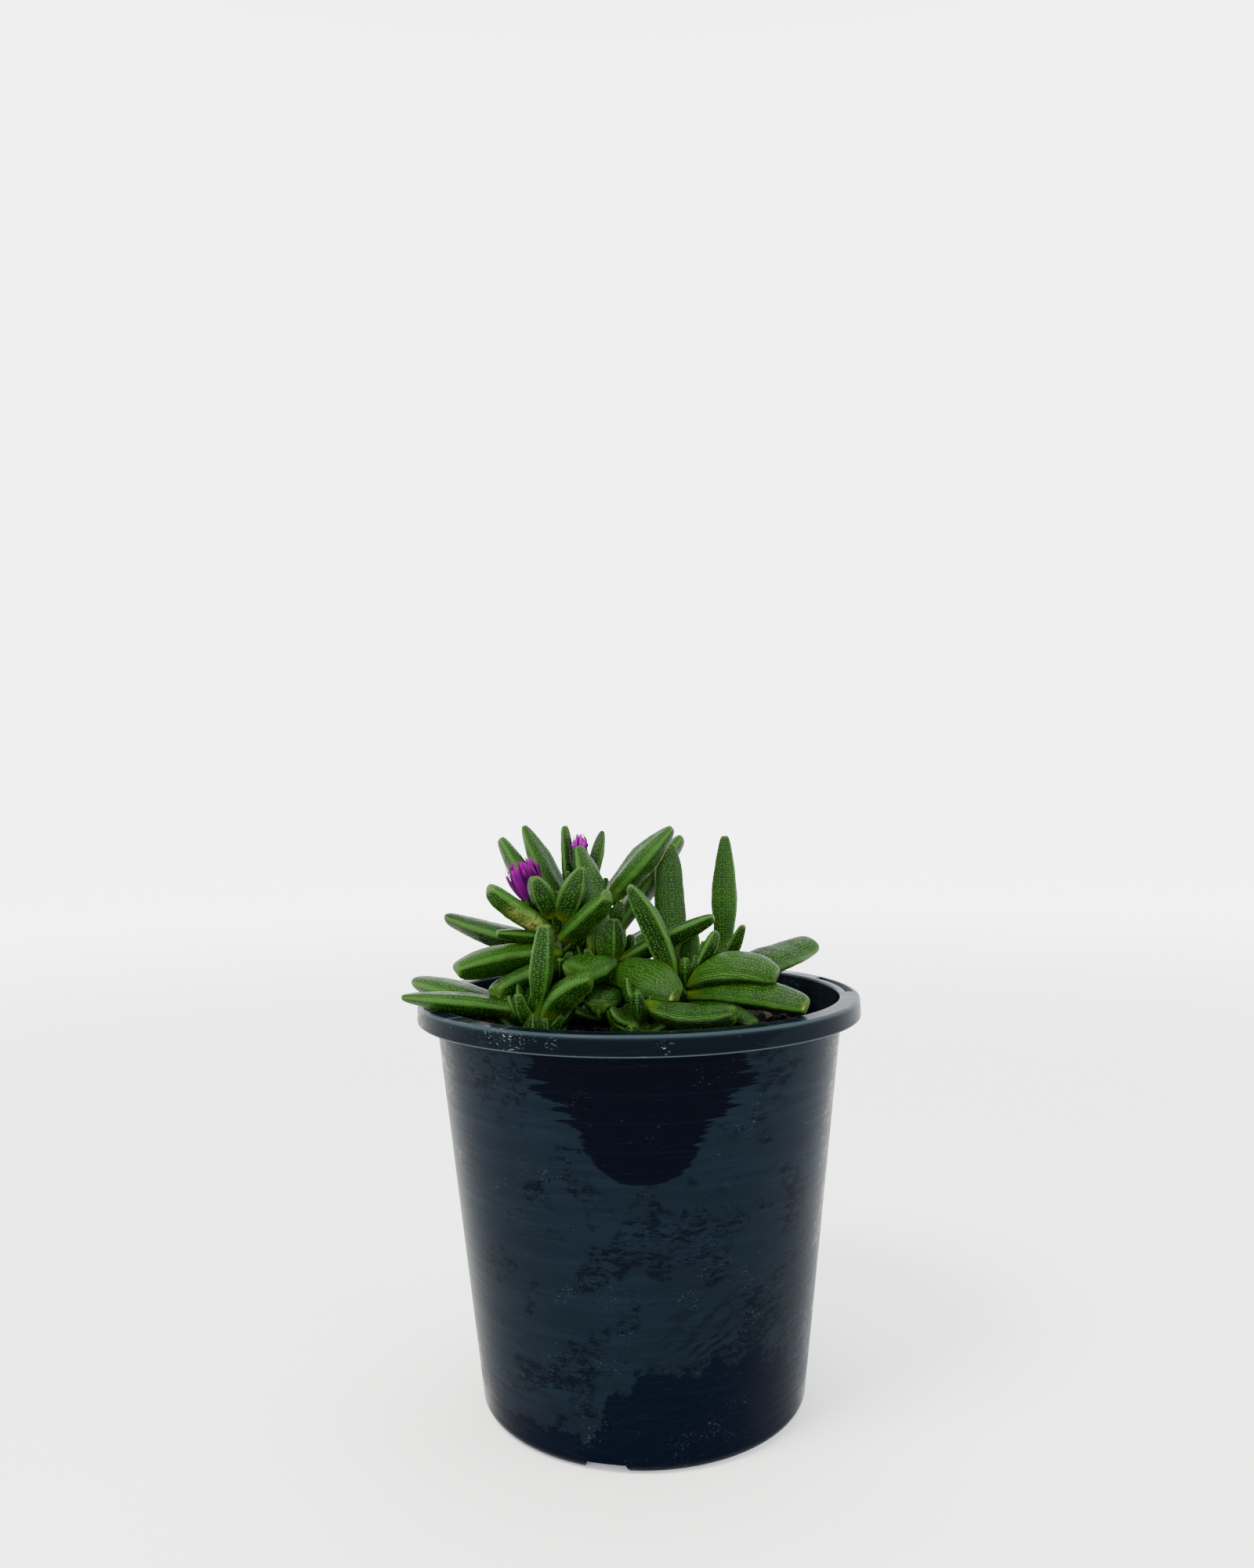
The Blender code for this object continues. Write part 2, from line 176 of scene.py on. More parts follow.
def leaf_material():
    """Fleshy waxy leaf skin: soft shine, grainy with raised cells whose tops carry painted glints, a light
    rim with a painted highlight along the keel, and a greyer upper face over a darker underside, painted
    light and painted shade.
    """
    made, tree, shader = new_material("leaf_skin_waxy")
    grain = attribute(tree, "grain", "Vector")
    names = ("along", "margin", "upper", "tone", "scar", "wrinkle")
    along, margin, upper, tone, scar, wrinkle = (attribute(tree, name) for name in names)

    # Cells about 0.8 mm apart, in loose rows
    inputs = {"Vector": grain, "Scale": 1 / (0.8 * MM), "Randomness": 0.6}
    dots = add_node(tree, "TexVoronoi", inputs, "Distance", voronoi_dimensions="2D").ramp(0.3, 0.08)
    mottle = grain.noise(4.5 * MM, 4.0)
    patches = grain.noise(14 * MM, 2.0)

    shade = tone.ramp(0.0, 1.0)
    # Upper face lighter and greyer, underside darker: painted light and painted shade from how light falls on
    # the leaf
    deep, face = shade.between("#020f00", "#0a2100"), shade.between("#051a02", "#163203")
    body = (upper * 0.8).between(deep, face)
    body = mottle.ramp(0.35, 0.75, 0.0, 0.5).between(body, "#183401")
    body = patches.ramp(0.45, 0.75, 0.0, 0.6).between(body, "#031300")
    # Cell tops painted lighter: painted glints on the raised cells
    body = (dots * 0.42).between(body, "#42702c")
    body = along.ramp(0.28, 0.0, 0.0, 0.8).between(body, "#40540c")
    body = along.ramp(0.97, 1.0, 0.0, 0.3).between(body, "#3c5418")
    # Paler sides, and along the keel a painted highlight
    body = (margin.ramp(0.92, 1.0) * 0.5).between(body, "#335520")
    # Real scars and, along ridges, a painted highlight, in a pale ragged colour
    mark = scar * grain.noise(1.2 * MM, 5.0, 0.7).ramp(0.36, 0.58)
    body = mark.between(body, "#949650")

    inputs = {"Vector": grain, "Scale": 0.314 / (0.6 * MM), "Distortion": 4.0}
    inputs |= {"Detail": 2.0, "Detail Scale": 0.6}
    waves = add_node(tree, "TexWave", inputs, 1, wave_type="BANDS", bands_direction="Y")
    folds = (waves * wrinkle).bump(0.22 * MM, dots.bump(0.1 * MM))
    fill(tree, shader, {
        "Base Color": body, "Roughness": mottle.ramp(0.3, 0.8, 0.42, 0.6) + mark * 0.3,
        "Normal": mottle.bump(0.25 * MM, folds), "IOR": 1.42, "Specular IOR Level": 0.09,
        "Subsurface Weight": 0.06, "Subsurface Radius": (0.6, 1.0, 0.2), "Subsurface Scale": 1.5 * MM,
    })
    return made


def petal_material(name, deep, bright, pale):
    """Silky petal skin: magenta, darker lengthwise veins, paler ragged tips."""
    made, tree, shader = new_material(name)
    veins = attribute(tree, "grain", "Vector").stretched(0.08, 1.0, 1.0).noise(0.35 * MM, 2.0)
    body = attribute(tree, "tone").between(deep, bright)
    body = veins.ramp(0.45, 0.7, 0.0, 0.5).between(body, deep)
    body = attribute(tree, "along").ramp(0.7, 1.0, 0.0, 0.45).between(body, pale)
    fill(tree, shader, {
        "Base Color": body, "Roughness": 0.5, "Normal": veins.bump(0.08 * MM), "Specular IOR Level": 0.02,
        "Subsurface Weight": 0.1, "Subsurface Radius": (1.0, 0.3, 0.8), "Subsurface Scale": 0.6 * MM,
    })
    return made


def stem_material():
    """Young fleshy stem: green, flushed brown towards the foot, with fine lengthwise lines."""
    made, tree, shader = new_material("stem_skin_fleshy")
    grain = attribute(tree, "grain", "Vector")
    lines = grain.stretched(0.15, 1.0, 1.0).noise(0.7 * MM, 3.0)
    spots = grain.noise(2.4 * MM, 4.0)
    body = attribute(tree, "along").ramp(0.1, 0.6).between("#15110a", "#15300a")
    body = lines.ramp(0.4, 0.75, 0.0, 0.5).between(body, "#2c4614")
    body = spots.ramp(0.5, 0.8, 0.0, 0.6).between(body, "#0a0904")
    rough = spots.ramp(0.3, 0.8, 0.4, 0.65)
    fill(tree, shader, {"Base Color": body, "Roughness": rough, "Normal": lines.bump(0.15 * MM)})
    return made


def pot_material():
    """Injection moulded polypropylene: glossy blue-black, with a haze of dust and painted reflection wiped
    off in smudges.
    """
    made, tree, shader = new_material("polypropylene_moulded_black")
    split = add_node(tree, "SeparateXYZ", {0: add_node(tree, "TexCoord", None, "Object")})
    east, north, height = (Field(tree, socket) for socket in split.socket.node.outputs)

    # Position round the pot, in metres of wall, from the front middle
    round_wall = east.maths("ARCTAN2", north * -1.0) * (58 * MM)
    reach = round_wall.maths("ABSOLUTE")
    wall = add_node(tree, "CombineXYZ", {0: round_wall + 0.517, 1: height, 2: 0.037})

    # A painted dark reflection like a bowl hangs under the rim at the front, where the haze is left out
    depth = 120 * MM - height
    ragged = wall.stretched(0.12, 2.2, 1.0).noise(5 * MM, 4.0, 0.6)
    ragged = (ragged - 0.5) * depth.ramp(30 * MM, 14 * MM, 8 * MM, 36 * MM)
    fall = (depth - 15 * MM).maths("MAXIMUM") / (22 * MM)
    curve = (1.0 - fall * fall).maths("MAXIMUM").maths("SQRT")
    spread = curve * (18.5 * MM) + depth.ramp(20 * MM, 7 * MM, 0.0, 11 * MM)
    bowl = (spread + ragged - reach).ramp(-0.5 * MM, 1 * MM) * depth.ramp(37 * MM, 36 * MM)
    # Faint level bands through the painted dark reflection
    rings = (depth - 3.5 * MM).maths("PINGPONG", 4 * MM)
    bowl = bowl - rings.ramp(0.5 * MM, 0.1 * MM) * 0.12

    # Rubbed patches: fine flecks gathered in cloudy zones, and slanting strokes at the lower right
    fine = wall.stretched(0.25, 2.0, 1.0).noise(1.8 * MM, 4.0, 0.7)
    fleck = wall.stretched(0.55, 1.2, 1.0).noise(2.0 * MM, 6.0, 0.78).ramp(0.49, 0.54)
    zone = wall.noise(20 * MM, 3.0, 0.65).ramp(0.49, 0.57)
    slant = {0: round_wall + height * 0.5, 1: (height - round_wall * 0.5) * 5.0}
    strokes = add_node(tree, "CombineXYZ", slant).noise(14 * MM, 5.0, 0.7).ramp(0.5, 0.58)
    right = round_wall.ramp(-5 * MM, 22 * MM) * round_wall.ramp(80 * MM, 50 * MM)
    strokes = strokes * right * height.ramp(62 * MM, 34 * MM, 0.0, 0.7)
    wiped = (fleck * zone * 0.75).maths("MAXIMUM", strokes) * reach.ramp(178 * MM, 160 * MM)

    # A darker area low on the wall, with a cloudy upper edge
    middle = round_wall.ramp(-26 * MM, 4 * MM) * round_wall.ramp(75 * MM, 40 * MM)
    cloud = wall.stretched(0.8, 1.0, 1.0).noise(10 * MM, 8.0, 0.75)
    level = middle * (21 * MM) - (height + 14 * MM) + cloud * (46 * MM)
    low = level.ramp(-1.5 * MM, 1.5 * MM) * fine.ramp(0.3, 0.6, 0.95, 0.6)
    # The haze, part dust and part painted reflection, is left out where wiped, under the painted dark
    # reflection and low on the wall
    dust_and_reflection_haze = (1.0 - wiped.maths("MAXIMUM", bowl)) * (1.0 - low)

    # Scratches: thin lines along and across the wall
    inputs = {"Vector": wall.stretched(1.0, 9.0, 1.0), "Scale": 1 / (30 * MM)}
    kind = {"voronoi_dimensions": "2D", "feature": "DISTANCE_TO_EDGE"}
    lines = add_node(tree, "TexVoronoi", inputs, "Distance", **kind)
    scratch = lines.ramp(0.006, 0.0) * fine.ramp(0.5, 0.62)

    rim = height.ramp(119 * MM, 120.5 * MM)
    # Haze colours: grey-blue dust and painted reflection
    tint = wall.stretched(0.8, 1.0, 1.0).noise(30 * MM, 2.0).between("#060b13", "#050e13")
    brushed = wall.stretched(0.16, 1.6, 1.0).noise(5 * MM, 5.0, 0.65)
    tint = brushed.ramp(0.4, 0.75, 0.0, 0.5).between(tint, "#0c151d")
    body = dust_and_reflection_haze.between("#000106", tint)
    body = low.between(body, "#00030d")
    body = (rim * 0.7).between(body, "#03070b")
    body = (scratch * 0.35).between(body, "#2b3338")
    ticks = wall.stretched(1.0, 1.4, 1.0).noise(0.8 * MM, 3.0, 0.6).ramp(0.6, 0.68)
    scuff = ticks * wall.noise(11 * MM, 2.0).ramp(0.56, 0.66) * (rim * 0.5 + 0.12)
    body = scuff.between(body, "#5c666c")
    # Painted highlight along the rim's rounded edges
    edge_highlight = add_node(tree, "NewGeometry", None, "Pointiness").ramp(0.505, 0.53, 0.0, 0.5)
    body = (edge_highlight * rim).between(body, "#39464c")
    moulding = wall.stretched(0.15, 2.5, 1.0).noise(5 * MM, 3.0)
    fill(tree, shader, {
        "Base Color": body, "Roughness": dust_and_reflection_haze.ramp(0.0, 1.0, 0.14, 0.3) + fine * 0.08,
        "Normal": moulding.bump(0.12 * MM), "IOR": 1.45, "Specular IOR Level": 0.018,
    })
    return made


def mix_material(name, dark, light):
    """Damp potting mix: composted bark and peat, matt, nearly black, partly its own colour and partly painted
    shade inside the pot, with paler fibres.
    """
    made, tree, shader = new_material(name)
    place = add_node(tree, "TexCoord", None, "Object")
    grains = place.noise(1.1 * MM, 6.0, 0.7)
    body = grains.ramp(0.35, 0.75).between(dark, light)
    body = place.noise(5 * MM, 3.0).ramp(0.4, 0.7, 0.0, 0.7).between(body, dark)
    body = attribute(tree, "tone").ramp(0.9, 1.0, 0.0, 0.8).between(body, "#48453a")
    fill(tree, shader, {
        "Base Color": body, "Roughness": grains.ramp(0.3, 0.8, 0.95, 0.6),
        "Normal": grains.bump(0.5 * MM), "Specular IOR Level": 0.05,
    })
    return made


def floor_material():
    """Matt white studio floor with the faintest mottling; far off it glows like a lit backdrop."""
    made, tree, shader = new_material("studio_floor_matt")
    place = add_node(tree, "TexCoord", None, "Object")
    away = add_node(tree, "VectorMath", {0: place}, "Value", operation="LENGTH")
    fill(tree, shader, {
        "Base Color": place.noise(0.4, 2.0).between("#f3f3f2", "#f7f7f6"), "Roughness": 0.9,
        "Specular IOR Level": 0.1, "Emission Color": "#ffffff",
        "Emission Strength": away.ramp(0.3, 1.8, 0.0, 3.4),
    })
    made.cycles.emission_sampling = "NONE"
    return made


# ---------------------------------------------------------------- surfaces


def unit(vectors):
    return vectors / np.maximum(np.linalg.norm(vectors, axis=-1, keepdims=True), 1e-12)


def pointing(azimuth, rise=0.0):
    """Unit vector at an azimuth and a rise in radians."""
    level = math.cos(rise)
    return np.array([math.cos(azimuth) * level, math.sin(azimuth) * level, math.sin(rise)])


def revolved(profile, angle):
    """Points of each (radius, height) of a profile turned about z to each angle."""
    radius, height = np.array(profile).T[..., None]
    return np.stack((radius * np.cos(angle), radius * np.sin(angle), height + 0 * angle), -1)


def plain_object(name, points, faces):
    """Links an object made from points and faces."""
    mesh = bpy.data.meshes.new(name)
    mesh.from_pydata([tuple(p) for p in points], [], faces)
    made = bpy.data.objects.new(name, mesh)
    bpy.context.scene.collection.objects.link(made)
    return made


def full_turn(steps):
    """Evenly spaced angles once round."""
    return TURN * np.arange(steps) / steps


def laid_out(along, across, first, last):
    """Flat coordinates in metres of a surface's points, then of its two poles, for patterns."""
    grid = np.stack(np.broadcast_arrays(along, across, 0.0), -1).reshape(-1, 3)
    return np.concatenate((grid, [(*first, 0), (*last, 0)]))


def tube_faces(rows, columns):
    """Quads between neighbouring rings, the last column joined to the first."""
    ring, column = np.meshgrid(np.arange(rows - 1), np.arange(columns), indexing="ij")
    after = (column + 1) % columns
    quads = (ring * columns + column, ring * columns + after)
    quads += ((ring + 1) * columns + after, (ring + 1) * columns + column)
    return np.stack(quads, -1).reshape(-1, 4)


def end_fans(rows, columns):
    """Triangles from the first and last ring to the two pole points, which follow the rings."""
    column = np.arange(columns)
    after = (column + 1) % columns
    first, last = rows * columns, rows * columns + 1
    top = (rows - 1) * columns
    start = np.stack((np.full(columns, first), after, column), -1)
    end = np.stack((np.full(columns, last), top + column, top + after), -1)
    return np.concatenate((start, end))


class Shape:
    """Points, quads, triangles and point attributes of one or more closed surfaces."""

    def __init__(self):
        self.points, self.quads, self.fans, self.values = [], [], [], {}
        self.count = 0

    def add(self, points, quads, fans, **values):
        """Adds a surface and turns its faces outwards if its volume comes out negative."""
        corners = np.concatenate((fans, quads[:, [0, 1, 2]], quads[:, [0, 2, 3]]))
        middle = points.mean(0)
        a, b, c = (points[corners[:, i]] - middle for i in range(3))
        if np.einsum("ij,ij->i", a, np.cross(b, c)).sum() < 0:
            quads, fans = quads[:, ::-1], fans[:, ::-1]
        self.points.append(points)
        self.quads.append(quads + self.count)
        self.fans.append(fans + self.count)
        for name, value in values.items():
            size = (len(points), 3) if np.ndim(value) == 2 else (len(points),)
            self.values.setdefault(name, []).append(np.broadcast_to(value, size))
        self.count += len(points)

    def rings(self, grid, ends, **values):
        """Adds a surface of rings that a pole point closes at each end."""
        points = np.concatenate((grid.reshape(-1, 3), ends))
        self.add(points, tube_faces(*grid.shape[:2]), end_fans(*grid.shape[:2]), **values)

    def piece(self, name, material, slot, *replaced, smooth=True):
        """Makes the object, gives it its attributes and material, and ties it to the model."""
        points = np.concatenate(self.points)
        quads, fans = np.concatenate(self.quads), np.concatenate(self.fans)
        loops = np.concatenate((quads.ravel(), fans.ravel())).astype(np.int32)
        sizes = np.concatenate((np.full(len(quads), 4), np.full(len(fans), 3)))
        starts = np.concatenate(([0], np.cumsum(sizes)[:-1])).astype(np.int32)
        mesh = bpy.data.meshes.new(name)
        mesh.vertices.add(len(points))
        mesh.vertices.foreach_set("co", points.astype(np.float32).ravel())
        mesh.loops.add(len(loops))
        mesh.loops.foreach_set("vertex_index", loops)
        mesh.polygons.add(len(sizes))
        mesh.polygons.foreach_set("loop_start", starts)
        for key, value in self.values.items():
            value = np.concatenate(value).astype(np.float32)
            kind, field = ("FLOAT", "value") if value.ndim == 1 else ("FLOAT_VECTOR", "vector")
            mesh.attributes.new(key, kind, "POINT").data.foreach_set(field, value.ravel())
        mesh.update(calc_edges=True)
        mesh.validate()
        mesh.polygons.foreach_set("use_smooth", np.full(len(sizes), smooth))
        return tie(bpy.data.objects.new(name, mesh), material, slot, *replaced)


def tie(made, material, slot, *replaced):
    """Links a finished object, gives it its material, sets it under the root, and hides the parts it
    replaces.
    """
    if not made.users_collection:
        bpy.context.scene.collection.objects.link(made)
    made.data.materials.clear()
    made.data.materials.append(material)
    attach(made, "root")
    if replaced:
        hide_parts(*replaced)
    return made


def merged(node):
    """A CAD node's corners merged by position, and its triangles on them."""
    mesh = NODES[node].data
    points = np.empty(len(mesh.vertices) * 3)
    mesh.vertices.foreach_get("co", points)
    mesh.calc_loop_triangles()
    corners = np.empty(len(mesh.loop_triangles) * 3, dtype=np.int32)
    mesh.loop_triangles.foreach_get("vertices", corners)
    unique, place = np.unique(np.round(points.reshape(-1, 3), 6), axis=0, return_inverse=True)
    faces = place.reshape(-1)[corners].reshape(-1, 3)
    a, b, c = faces.T
    return unique, faces[(a != b) & (b != c) & (c != a)]


# ---------------------------------------------------------------- leaves

CAD_RINGS = 9  # a CAD leaf has two poles, and eight rings of eight points between them
CAD_SIDES = 8
ABOVE, BELOW = 0.288, 0.512  # thickness above and below the middle line, as shares of the width


def outline(along, point=0.3, taper=0.3, heel=0.66):
    """Half-width share: (4t(1-t))^point, times a narrower foot, times a tapering tip."""
    ends = np.clip(4 * along * (1 - along), 0, 1) ** point
    foot = heel + (1 - heel) * np.clip(along / 0.45, 0, 1) ** 0.8
    tip = 1.0 - taper * np.clip((along - 0.6) / 0.4, 0, 1) ** 1.5
    return ends * foot * tip


def stem_ends(shoot):
    """Foot, top and radii of a CAD stem, from the two rings of its cone."""
    points, _ = merged(shoot + "_stem")
    middle = points.mean(0)
    axis = np.linalg.svd(points - middle)[2][0]
    axis = axis * np.sign(axis[2])
    rank = (points - middle) @ axis
    low, high = points[rank < 0], points[rank > 0]
    radii = [np.linalg.norm(ring - ring.mean(0), axis=1).max() for ring in (low, high)]
    return low.mean(0), high.mean(0), radii


def read_leaf(node, foot, top):
    """Middle line, side, upper direction and width of a CAD leaf.

    Rings are the points at equal steps from a pole. The widest pair across a ring gives its
    middle and side, and the shallower of the two points between them shows the upper face.
    """
    points, faces = merged(node)
    near = np.zeros((len(points), len(points)), bool)
    for i, j in ((0, 1), (1, 2), (2, 0)):
        near[faces[:, i], faces[:, j]] = near[faces[:, j], faces[:, i]] = True
    wanted = [1] + [CAD_SIDES] * (CAD_RINGS - 1) + [1]
    for pole in np.flatnonzero(near.sum(1) == CAD_SIDES):
        steps = np.full(len(points), -1)
        steps[pole] = 0
        for step in range(1, CAD_RINGS + 1):
            steps[(steps < 0) & near[steps == step - 1].any(0)] = step
        if [int((steps == s).sum()) for s in range(CAD_RINGS + 1)] == wanted:
            break
    axis = (top - foot) / np.linalg.norm(top - foot)

    def from_stem(point):
        return np.linalg.norm(np.cross(point - foot, axis))

    if from_stem(points[steps == 0][0]) > from_stem(points[steps == CAD_RINGS][0]):
        steps = CAD_RINGS - steps
    line = [points[steps == 0][0]]
    widths, sides, ups = [], [], []
    for step in range(1, CAD_RINGS):
        ring = points[steps == step]
        gaps = np.linalg.norm(ring[:, None] - ring[None], axis=2)
        i, j = np.unravel_index(gaps.argmax(), gaps.shape)
        middle = (ring[i] + ring[j]) / 2
        side = unit(ring[i] - ring[j])
        if sides and side @ sides[0] < 0:
            side = -side
        rest = ring - middle
        rest = rest - (rest @ side)[:, None] * side
        far = rest[np.linalg.norm(rest, axis=1).argmax()]
        line.append(middle)
        widths.append(gaps.max() / 2)
        sides.append(side)
        ups.append(-unit(far))
    line.append(points[steps == CAD_RINGS][0])
    along = (1 - np.cos(np.pi * np.arange(CAD_RINGS + 1) / CAD_RINGS)) / 2
    width = 2 * np.median(np.array(widths) / outline(along[1:-1]))
    curve = [np.polyfit(along, np.array(line)[:, k], 3) for k in range(3)]
    middle = len(sides) // 2
    return curve, np.mean(sides, 0), ups[middle], width


def leaf_surface(shape, curve, side, up, width, seed, rows=104, columns=72, foot=0.08, look=None):
    """Adds one fleshy leaf.

    Along t, from a little inside the stem to the tip, the outline gives the half-width. Round
    the section at angle a: x = sin(a)^0.85, and above the middle line y = above cos(a)^0.8
    less a groove exp(-(x/0.42)^2), below it y = -below (0.62 cos(a) + 0.38 (1-x)), a soft keel.
    Slow sines along and round it swell and dent the surface.
    """
    look = look or {}
    rng = np.random.default_rng(seed)
    along = (1 - np.cos(np.pi * (np.arange(rows) + 1) / (rows + 1))) / 2
    at = along * (1 + foot) - foot
    places = np.stack([np.polyval(c, at) for c in curve], -1)
    ends = np.stack([np.polyval(c, np.array([-foot, 1.0])) for c in curve], -1)
    tangent = unit(np.gradient(places, along, axis=0))
    side = np.broadcast_to(unit(side), places.shape)
    twist = math.radians(look.get("twist", rng.uniform(-10, 10))) * along[:, None]
    normal = np.cross(tangent, side)
    normal = unit(normal * np.sign(np.sum(normal * up, -1, keepdims=True)))
    cos, sin = np.cos(twist), np.sin(twist)
    side, normal = side * cos + normal * sin, normal * cos - side * sin

    angle = full_turn(columns)
    sine, cosine = np.sin(angle), np.cos(angle)
    x = np.sign(sine) * np.abs(sine) ** 0.85
    groove = look.get("groove", rng.uniform(0.0, 0.25))
    keel = look.get("keel", 0.62)
    share = outline(along, look.get("point", 0.22), look.get("taper", 0.24), look.get("heel", 0.8))
    share = share * width * look.get("fuller", 1.12)
    share = share * (1 + 0.035 * np.sin(TURN * (along * rng.uniform(1, 2) + rng.uniform())))
    t, a = along[:, None], angle[None]
    run = np.sin(np.pi * t) ** 0.6
    above = ABOVE * (np.abs(cosine) ** 0.8 - groove * np.exp(-((x / 0.42) ** 2)) * run)
    below = -BELOW * ((1 - keel) * np.abs(cosine) + keel * (1 - np.abs(x)))
    y = np.where(cosine > 0, above, np.broadcast_to(below, above.shape))
    swell = sum(
        amount * np.sin(TURN * (m * t + rng.uniform()) + n * a)
        for amount, m, n in ((0.02, 1.7, 1), (0.016, 3.1, 2), (0.01, 5.3, 3), (0.006, 9.1, 5))
    )
    swell = 1 + swell * run
    across = share[:, None] * (x / 2)[None] * swell
    through = share[:, None] * y * swell
    grid = places[:, None] + across[..., None] * side[:, None] + through[..., None] * normal[:, None]

    length = np.linalg.norm(np.diff(places, axis=0), axis=1).sum()
    half_round = 0.5 * 2.3 * width
    away = np.minimum(angle, TURN - angle) / np.pi * half_round
    offset = rng.uniform(0, 0.4)
    poles = (offset, offset * 2), (length + offset, offset * 2)
    grain = laid_out(t * length + offset, away[None] + offset * 2, *poles)

    def spread(values, first, last):
        return np.concatenate((np.broadcast_to(values, (rows, columns)).ravel(), [first, last]))

    # Share of the upper face, which the skin paints lighter as painted light, the underside left darker as
    # painted shade
    upper = 1 / (1 + np.exp(-(cosine - 0.12) * 14))
    # Near 1 at the sides and along the keel, where the paler rim colour is a painted highlight
    edge = np.maximum(np.abs(x), 1 - 0.5 * np.abs(angle - np.pi))
    scar = np.zeros((rows, columns))
    for middle, reach, around, extent, strength in look.get("scars", ()):
        spot = ((t - middle) / reach) ** 2 + (np.angle(np.exp(1j * (a - around))) / extent) ** 2
        scar = np.maximum(scar, strength * np.exp(-spot))
    # A ridge: a pale stripe that is a painted highlight
    if look.get("ridge"):
        along_ridge = np.exp(-(((angle - look["ridge"]) / 0.09) ** 2))
        scar = np.maximum(scar, 0.55 * along_ridge * np.clip(np.sin(np.pi * t) * 1.6, 0, 1) * (t > 0.05))
    shape.rings(
        grid, ends, grain=grain, along=spread(t, 0.0, 1.0), margin=spread(edge[None], 0.0, 1.0),
        upper=spread(upper[None], 0.5, 0.5), scar=spread(scar, 0.0, scar[-1].max()),
        tone=np.float64(look.get("tone", rng.uniform(0.1, 0.9))),
        wrinkle=np.float64(look.get("waves", 0.0)),
    )


def free_leaf(shape, base, tip, width, seed, lift=0.12, up=(0, 0, 1), rows=44, columns=32, look=None):
    """A small leaf from base to tip, in mm: its line bows by lift of its length, away from up."""
    base, tip = np.array(base) * MM, np.array(tip) * MM
    reach = tip - base
    up = np.array(up, float)
    up = unit(up - (up @ unit(reach)) * unit(reach))
    bow = -up * np.linalg.norm(reach) * lift * 4
    curve = [np.array([-bow[k], reach[k] + bow[k], base[k]]) for k in range(3)]
    side = np.cross(unit(reach), up)
    leaf_surface(shape, curve, side, up, width * MM, seed, rows, columns, 0.03, look)


# What sets single leaves apart: scars are (along, reach, round, extent, strength), waves is how
# deep the skin folds, ridge is where a painted highlight runs, and the rest change section and outline.
LOOKS = {
    "flower_1": dict(groove=0.0, keel=0.75, tone=0.75, point=0.2, taper=0.1, heel=0.9,
        fuller=1.2, ridge=1.05),
    "flower_4": dict(taper=0.1, point=0.2, tone=0.5, fuller=1.3),
    "flower_5": dict(taper=0.5, point=0.26, tone=0.5, fuller=1.2),
    "flower_6": dict(waves=0.15, tone=0.2, point=0.24, fuller=1.2),
    "flower_7": dict(tone=1.0, fuller=1.3, taper=0.1,
        scars=((0.35, 0.16, -2.2, 0.9, 0.6), (0.62, 0.1, -2.2, 0.6, 0.35))),
    "flower_8": dict(taper=0.3, tone=0.3, fuller=1.1),
    "flower_9": dict(taper=0.1, tone=0.3, fuller=1.5),
    "bud_1": dict(taper=0.2, tone=0.55, fuller=1.2),
    "bud_2": dict(taper=0.4, tone=0.35, fuller=1.2),
    "bud_3": dict(taper=0.5, tone=0.5, fuller=1.3),
    "bud_4": dict(taper=0.25, tone=0.7, fuller=1.3),
    "centre_1": dict(taper=0.0, point=0.18, tone=0.6, fuller=1.3, twist=40),
    "centre_2": dict(taper=0.2, tone=0.6, waves=0.15, scars=((0.994, 0.005, 1.3, 0.7, 0.9),)),
    "centre_3": dict(taper=0.1, point=0.24, tone=0.75, fuller=1.35),
    "centre_5": dict(taper=0.45, tone=0.5),
    "centre_6": dict(taper=0.1, tone=0.3, fuller=1.6, heel=1.0),
    "tall_1": dict(taper=0.4, point=0.28, tone=0.55, fuller=1.2, ridge=math.pi),
    "right_3": dict(waves=0.35, tone=0.25, fuller=1.2),
    "right_4": dict(waves=0.8, tone=0.75, groove=0.0, fuller=1.4, taper=0.15),
    "right_5": dict(waves=0.3, tone=0.55, fuller=1.35, taper=0.0, scars=((0.997, 0.002, 1.3, 0.6, 0.7),)),
    "right_6": dict(keel=0.85, tone=0.45, groove=0.1, taper=0.4),
    "middle_1": dict(keel=0.85, tone=0.4, taper=0.25, point=0.22, heel=0.6),
    "far_right_1": dict(keel=0.8, tone=0.5, taper=0.4, point=0.2, heel=0.5, fuller=1.0, ridge=math.pi),
    "far_right_3": dict(taper=0.0, point=0.18, tone=0.35, fuller=1.35),
    "front_1": dict(waves=1.0, tone=0.45, groove=0.0, fuller=1.2, taper=0.05),
    "left_1": dict(tone=0.7, taper=0.45, point=0.24, fuller=1.35),
    "left_2": dict(tone=0.6, fuller=1.35, point=0.18, taper=0.05),
    "left_3": dict(tone=0.75, taper=0.1, heel=0.38, point=0.2),
    "left_4": dict(tone=0.65, taper=0.05, fuller=1.5, heel=0.7),
}


def build_leaves(material):
    """One fine leaf for each CAD leaf, on the same line."""
    for shoot in SHOOTS:
        foot, top, _ = stem_ends(shoot)
        for node in sorted(n for n in NODES if n.startswith(shoot + "_leaf_")):
            curve, side, up, width = read_leaf(node, foot, top)
            shape = Shape()
            seed = sum(map(ord, node)) * 7 + len(node)
            leaf_surface(shape, curve, side, up, width, seed, look=LOOKS.get(node.replace("_shoot_leaf", "")))
            shape.piece(node + "_flesh", material, "leaf", node)


# Opposite pairs of side leaves up each stem: share of its height, rise in degrees, length in mm
SIDE_PAIRS = ((0.5, 18, 13.0), (0.68, 34, 13.0), (0.84, 50, 11.0), (0.98, 64, 9.0))
SIDE_WIDTH = 0.36  # of the length
STEM_CLEAR = 3.0  # mm, the lowest leaf foot above the mix


